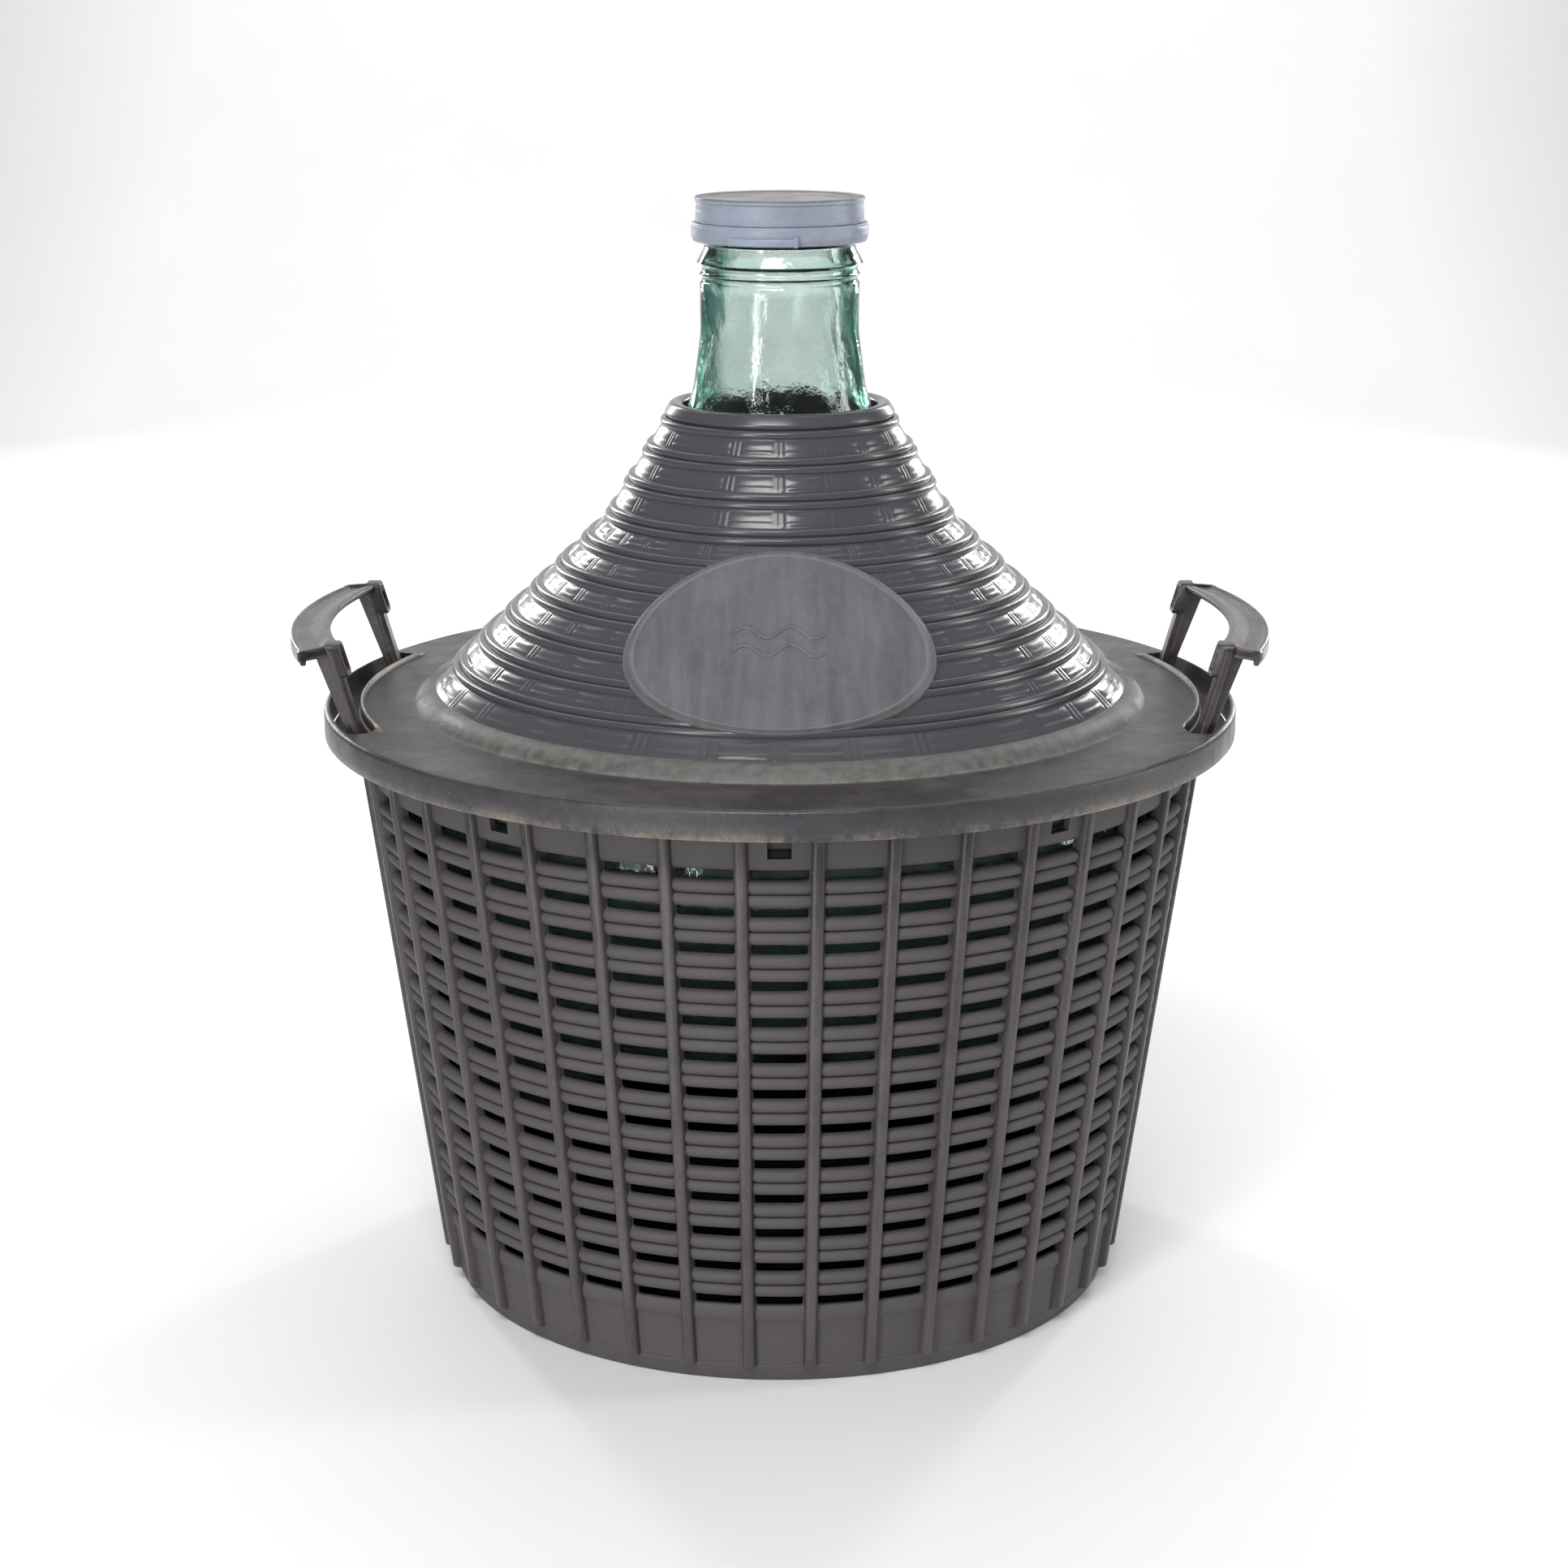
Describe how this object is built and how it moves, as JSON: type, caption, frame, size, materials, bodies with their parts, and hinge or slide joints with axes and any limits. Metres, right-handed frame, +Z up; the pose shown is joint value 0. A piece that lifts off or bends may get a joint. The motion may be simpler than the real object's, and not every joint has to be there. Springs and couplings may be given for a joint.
{
  "type": "demijohn",
  "caption": "Wide-mouth glass demijohn standing in a slatted plastic basket under a conical ribbed cover, with two strap handles and a press-on cap over a tear strip.",
  "frame": {"origin": "centre of the underside of the basket's foot ring", "axes": "+Z up along the bottle's axis; handles on +X and -X; the cover's oval panel faces -Y"},
  "size_m": [0.338, 0.316, 0.3765],
  "materials": {
    "basket_plastic": "satin charcoal polyethylene, slightly warm, dusty in the corners",
    "cover_plastic": "charcoal polyethylene, shiny on the beads, matt and dusty on the flange",
    "bottle_glass": "clear glass with a sea-green tint and a wavy moulded surface",
    "cap_plastic": "milky blue-grey translucent polyethylene",
    "strip_plastic": "milky blue-grey translucent polyethylene"
  },
  "bodies": {
    "basket": {"basket": "basket_plastic"},
    "handle_left": {"handle_left": "basket_plastic"},
    "handle_right": {"handle_right": "basket_plastic"},
    "bottle": {"glass_bottle": "bottle_glass"},
    "cover": {"cover": "cover_plastic"},
    "cap": {"cap": "cap_plastic", "cap_tear_strip": "strip_plastic"}
  },
  "joints": [
    {"name": "handle_left_flex", "type": "hinge", "parent": "basket", "child": "handle_left", "pos_m": [-0.14036, 0, 0.1995], "axis": [0, 1, 0], "range_deg": [0, 12], "stiffness_Nm_per_rad": 0.6},
    {"name": "handle_right_flex", "type": "hinge", "parent": "basket", "child": "handle_right", "pos_m": [0.14036, 0, 0.1995], "axis": [0, -1, 0], "range_deg": [0, 12], "stiffness_Nm_per_rad": 0.6},
    {"name": "bottle_lift", "type": "slide", "parent": "basket", "child": "bottle", "axis": [0, 0, 1], "range_m": [0, 0.24], "deforming": ["handle_left", "handle_right"]},
    {"name": "cover_lift", "type": "slide", "parent": "bottle", "child": "cover", "axis": [0, 0, 1], "range_m": [0, 0.195], "deforming": ["handle_left", "handle_right"]},
    {"name": "cap_pull", "type": "slide", "parent": "bottle", "child": "cap", "axis": [0, 0, 1], "range_m": [0, 0.06]}
  ]
}
